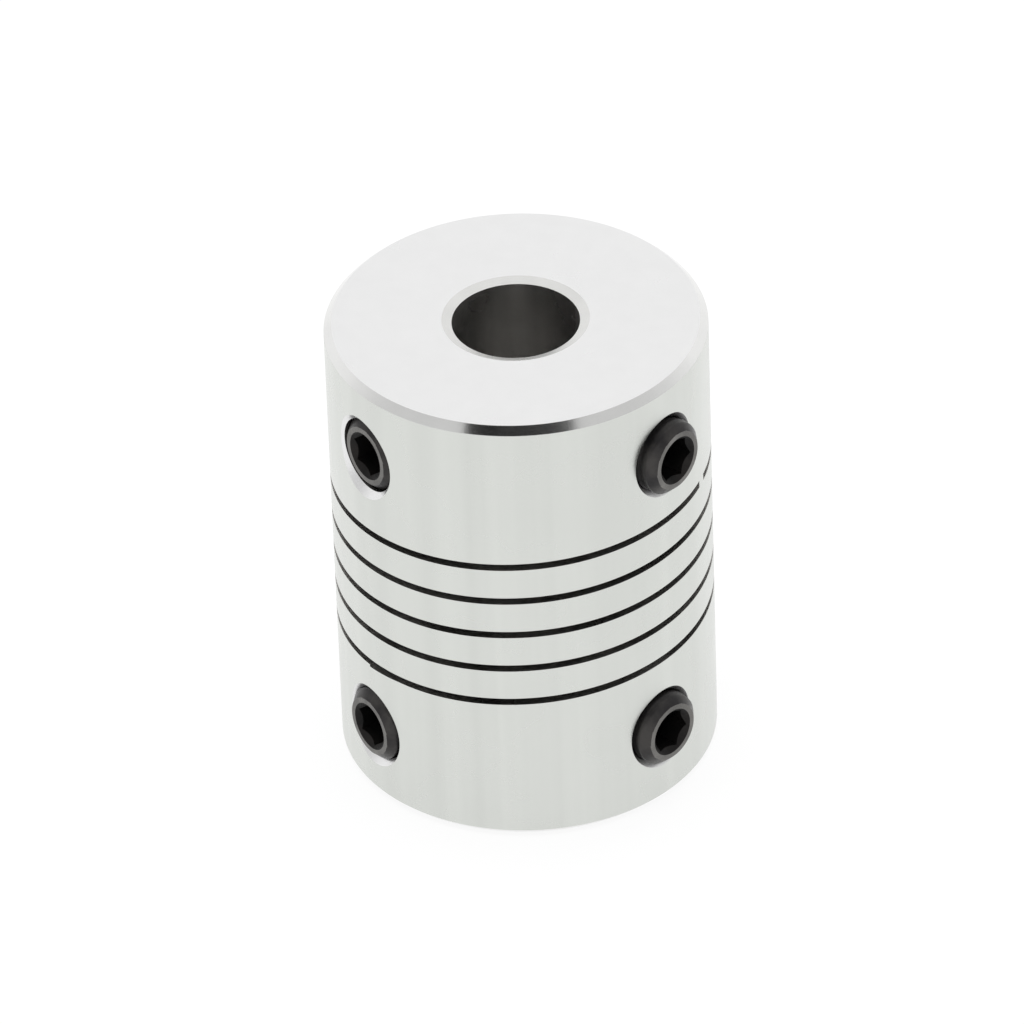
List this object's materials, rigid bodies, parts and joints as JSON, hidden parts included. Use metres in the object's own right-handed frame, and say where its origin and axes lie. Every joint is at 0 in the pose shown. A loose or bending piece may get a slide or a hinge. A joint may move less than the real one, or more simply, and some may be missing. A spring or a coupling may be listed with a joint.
{
  "type": "helical beam shaft coupling",
  "caption": "Turned aluminium cylinder with a helical slit round its middle, a bore in each end and radial set screws in both hubs, to join two shafts.",
  "frame": {"origin": "centre of the bottom end face, on the shaft axis; the coupling stands on that face", "axes": "+Z along the shaft axis, up out of the top bore; -Y faces the viewer, between the left and right set screws; +X to the viewer's right"},
  "size_m": [0.019, 0.019, 0.025],
  "materials": {
    "turned_aluminium": "fine turned, natural",
    "black_oxide_steel": "black oxide, slightly oily"
  },
  "bodies": {
    "coupling": {"coupling_body": "turned_aluminium"},
    "top_left_screw": {"set_screw_top_left": "black_oxide_steel"},
    "top_right_screw": {"set_screw_top_right": "black_oxide_steel"},
    "bottom_left_screw": {"set_screw_bottom_left": "black_oxide_steel"},
    "bottom_right_screw": {"set_screw_bottom_right": "black_oxide_steel"}
  },
  "joints": [
    {"name": "top_left_screw_travel", "type": "slide", "parent": "coupling", "child": "top_left_screw", "axis": [-0.8211, -0.5707, 0], "range_m": [-0.00112, 0.0018]},
    {"name": "top_right_screw_travel", "type": "slide", "parent": "coupling", "child": "top_right_screw", "axis": [0.7513, -0.66, 0], "range_m": [-0.00204, 0.0009]},
    {"name": "bottom_left_screw_travel", "type": "slide", "parent": "coupling", "child": "bottom_left_screw", "axis": [-0.831, -0.5563, 0], "range_m": [-0.00068, 0.0014]},
    {"name": "bottom_right_screw_travel", "type": "slide", "parent": "coupling", "child": "bottom_right_screw", "axis": [0.7009, -0.7133, 0], "range_m": [-0.0011, 0.001]}
  ]
}
